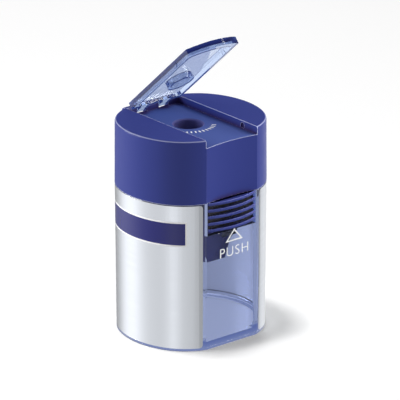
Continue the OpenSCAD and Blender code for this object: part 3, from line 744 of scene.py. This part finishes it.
# The lips take a lighter blue than the pad: a painted highlight along the crests.
crest_highlight_plastic = tinted_plastic("painted crest highlight", (0.16, 0.19, 0.62, 1.0), rough=0.2, grain=0.001,
                             gloss=0.3)
grown("ridge_lips", lip_group(), {
    "Count": ridge_count, "Pitch": lip_pitch * MM, "Top": [0.0, ridge_centre * MM, lip_top * MM],
    "Arc Radius": crest_r * MM, "Half Angle": asin(ridge_half / crest_r),
    "Lip Radius": lip_r * MM, "Material": crest_highlight_plastic}, crest_highlight_plastic, "pad_body")


# ---- Lid -------------------------------------------------------------------------------------
# The lid is a thin clear moulding of the same tint with a raised rim, a ring that plugs the
# pencil hole, and stub pins that turn in the head's lugs.

# Its last colour is a painted glow, for rays that reflect inside the plastic.
lid_plastic = clear_plastic("clear lid plastic", skin_tint=(0.66, 0.70, 0.80, 1.0),
                            tint=(0.067, 0.317, 0.667, 1.0), per_mm=0.30, wave=0.010, scuffs=0.05,
                            painted_glow=(0.09, 0.14, 0.40, 1.0))
moulding("lid", lid_plastic, edge=0.12)


# ---- Studio ----------------------------------------------------------------------------------
# A pale table and backdrop, and a sky whose brightness changes with its bearing where a piece
# mirrors it. Soft boxes on the camera's left and right and two high ones light the object, and
# one overhead lights only the table.

table_grey = 0.80
table_lift = 0.28          # the light that the looked-at table adds, to reach white
table_through = 0.4        # added to that where it is seen through clear plastic
inner_share = 0.2          # how much of that white a reflection inside clear plastic sees


def seen(tree):
    """Two masks: rays that look at the backdrop, and rays reflected off a piece's outside."""
    path = add(tree, "ShaderNodeLightPath")
    looked = add(tree, "ShaderNodeMath", {0: path.outputs["Is Camera Ray"],
                                          1: path.outputs["Is Transmission Ray"]},
                 operation="MAXIMUM")
    within = add(tree, "ShaderNodeMath", {0: path.outputs["Transmission Depth"], 1: 0.5},
                 operation="GREATER_THAN")
    bounced = add(tree, "ShaderNodeMath", {0: within.outputs[0],
                                           1: path.outputs["Is Reflection Ray"]},
                  operation="MULTIPLY")
    dimmed = add(tree, "ShaderNodeMath", {0: bounced.outputs[0], 1: inner_share},
                 operation="MULTIPLY")
    looked = add(tree, "ShaderNodeMath", {0: looked.outputs[0], 1: dimmed.outputs[0]},
                 operation="MAXIMUM")
    off_skin = add(tree, "ShaderNodeMath", {0: path.outputs["Is Reflection Ray"],
                                            1: bounced.outputs[0]}, operation="SUBTRACT")
    return looked.outputs[0], off_skin.outputs[0]


def floor_material():
    """Pale table top: it takes the shadow, and it is white where it is fully lit."""
    material, tree, out = new_material("pale table")
    looked, off_skin = seen(tree)
    path = add(tree, "ShaderNodeLightPath")
    matt = add(tree, "ShaderNodeBsdfDiffuse", {"Color": (table_grey, table_grey, table_grey, 1.0)})
    lift = add(tree, "ShaderNodeMath", {0: looked, 1: table_lift}, operation="MULTIPLY")
    through = add(tree, "ShaderNodeMath", {0: path.outputs["Is Transmission Ray"],
                                           1: table_through, 2: lift.outputs[0]},
                  operation="MULTIPLY_ADD")
    glow = add(tree, "ShaderNodeEmission", {"Color": (1.0, 1.0, 1.0, 1.0),
                                            "Strength": through.outputs[0]})
    both = add(tree, "ShaderNodeAddShader", {0: matt.outputs[0], 1: glow.outputs[0]})
    nothing = add(tree, "ShaderNodeBsdfTransparent", {"Color": (1.0, 1.0, 1.0, 1.0)})
    off_metal = add(tree, "ShaderNodeMixShader", {0: off_skin, 1: both.outputs[0],
                                                  2: nothing.outputs[0]})
    tree.links.new(off_metal.outputs[0], out.inputs["Surface"])
    return material


table_radius = 3.0         # in metres
table_drop = 0.01          # the table top lies this far under the tub's foot, in mm


def floor_disc(radius):
    """A wide flat table top, its face upwards, at the foot of the tub."""
    shape = bmesh.new()
    bmesh.ops.create_circle(shape, cap_ends=True, segments=96, radius=radius)
    for vertex in shape.verts:
        vertex.co.z -= table_drop * MM
    mesh = bpy.data.meshes.new("table")
    shape.to_mesh(mesh)
    shape.free()
    return plain_mesh("table", mesh, floor_material())


table = floor_disc(table_radius)

# Brightness that a piece mirrors low in the sky, by its bearing in degrees from +X.
sky_bearings = ((-180, 0.77), (-167, 0.85), (-155, 1.12), (-143, 0.88), (-135, 0.74), (-127, 0.72),
                (-115, 0.72), (-95, 0.42), (-70, 0.14), (-45, 0.14), (-20, 0.50), (8, 1.00),
                (42, 0.90), (60, 0.45), (78, 0.42), (92, 0.62), (105, 1.05), (116, 1.32),
                (133, 1.36), (145, 1.05), (153, 0.88), (162, 0.82), (180, 0.77))
sky_high = 0.22            # the same, high in the sky, at every bearing
sky_low_end, sky_high_start = -0.12, 0.18    # the low sky fades into the high one between these
sky_fill = 0.2             # the plain sky that lights the pieces and that none of them mirrors
sky_gain = 2.0             # the ramp holds the levels divided by this, so that none is over 1


def studio_sky():
    """The world: white where it is looked at, and by its bearing where a piece reflects it."""
    world = bpy.data.worlds.new("studio")
    bpy.context.scene.world = world
    world.use_nodes = True
    tree = world.node_tree
    tree.nodes.clear()
    looked, off_skin = seen(tree)
    aim = add(tree, "ShaderNodeTexCoord").outputs["Generated"]
    way = add(tree, "ShaderNodeSeparateXYZ", {0: aim})
    bearing = add(tree, "ShaderNodeMath", {0: way.outputs["Y"], 1: way.outputs["X"]},
                  operation="ARCTAN2")
    share = add(tree, "ShaderNodeMapRange", {"Value": bearing.outputs[0], "From Min": -pi,
                                             "From Max": pi})
    ramp = add(tree, "ShaderNodeValToRGB", {"Fac": share.outputs["Result"]})
    ramp.color_ramp.interpolation = "EASE"
    stops = ramp.color_ramp.elements
    while len(stops) < len(sky_bearings):
        stops.new(0.5)
    for stop, (angle, level) in zip(stops, sky_bearings):
        stop.position = (angle + 180) / 360
        stop.color = (level / sky_gain, level / sky_gain, level / sky_gain, 1.0)
    height = add(tree, "ShaderNodeMapRange", {"Value": way.outputs["Z"], "From Min": sky_low_end,
                                              "From Max": sky_high_start},
                 interpolation_type="SMOOTHSTEP")
    high = sky_high / sky_gain
    shade = add(tree, "ShaderNodeMix", {"Factor": height.outputs["Result"],
                                        "A": ramp.outputs["Color"], "B": (high, high, high, 1.0)},
                data_type="RGBA")
    white = add(tree, "ShaderNodeBackground", {"Color": (1.0, 1.0, 1.0, 1.0), "Strength": 1.0})
    fill = add(tree, "ShaderNodeBackground", {"Color": (1.0, 1.0, 1.0, 1.0), "Strength": sky_fill})
    sky = add(tree, "ShaderNodeBackground", {"Color": shade.outputs["Result"],
                                             "Strength": sky_gain})
    light = add(tree, "ShaderNodeMixShader", {0: off_skin, 1: fill.outputs[0],
                                              2: sky.outputs[0]})
    pick = add(tree, "ShaderNodeMixShader", {0: looked, 1: light.outputs[0], 2: white.outputs[0]})
    out = tree.nodes.new("ShaderNodeOutputWorld")
    tree.links.new(pick.outputs[0], out.inputs["Surface"])


studio_sky()

table_only = bpy.data.collections.new("table only")
all_but_table = bpy.data.collections.new("all but the table")
for group, state in ((table_only, "INCLUDE"), (all_but_table, "EXCLUDE")):
    group.objects.link(table)
    group.collection_objects[0].light_linking.link_state = state

aim_at = Vector((0, 0, 30 * MM))    # the middle of the object, where the lamps are aimed


def soft_box(name, bearing, rise, distance, width, tall, watts, lights):
    """A rectangular lamp at a bearing from +X and a rise, in degrees, with its sizes in metres."""
    lamp = bpy.data.lights.new(name, "AREA")
    lamp.shape = "RECTANGLE"
    lamp.size, lamp.size_y = width, tall
    lamp.energy = watts
    stand = bpy.data.objects.new(name, lamp)
    bpy.context.scene.collection.objects.link(stand)
    turn, lean = radians(bearing), radians(rise)
    towards = Vector((cos(turn) * cos(lean), sin(turn) * cos(lean), sin(lean)))
    stand.location = towards * distance + aim_at
    stand.rotation_mode = "QUATERNION"
    stand.rotation_quaternion = towards.to_track_quat("Z", "Y")
    stand.light_linking.receiver_collection = lights


soft_box("left box", 132, 15, 0.7, 0.4, 0.3, 4.6, all_but_table)
soft_box("right box", -38, 14, 0.7, 0.5, 0.3, 4.9, all_but_table)
soft_box("top box", 0, 50, 0.7, 0.4, 0.3, 1.7, all_but_table)
soft_box("table box", 138, 82, 1.0, 0.14, 0.14, 7.8, table_only)
soft_box("rim box", -125, 68, 0.8, 0.2, 0.2, 0.8, all_but_table)

camera_bearing, camera_rise, camera_distance = 39.46, 20.75, 1201 * MM
pixels_per_mm, picture_size = 3.61, 400
aim_pixel = Vector((190.68, 223.25))    # where the lamps' aim point stands in the picture


def stand_camera():
    """Sets the camera so that the aim point falls on its pixel, with no lens shift."""
    turn, rise = radians(camera_bearing), radians(camera_rise)
    ahead = Vector((sin(turn) * cos(rise), cos(turn) * cos(rise), -sin(rise)))
    right = Vector((cos(turn), -sin(turn), 0))
    up = right.cross(ahead)
    step = MM / pixels_per_mm
    centre = (aim_at + right * (picture_size / 2 - aim_pixel.x) * step
              + up * (aim_pixel.y - picture_size / 2) * step)
    spot = aim_at - ahead * camera_distance
    look = (centre - spot).normalized()
    lens = bpy.data.cameras.new("camera")
    lens.sensor_width = 36
    lens.lens = lens.sensor_width * pixels_per_mm * camera_distance / MM / picture_size
    lens.clip_start, lens.clip_end = 0.05, 20
    camera = bpy.data.objects.new("camera", lens)
    bpy.context.scene.collection.objects.link(camera)
    camera.location = spot
    camera.rotation_mode = "QUATERNION"
    camera.rotation_quaternion = (-look).to_track_quat("Z", "Y")
    bpy.context.scene.camera = camera


stand_camera()
bpy.context.scene.view_settings.view_transform = "Standard"
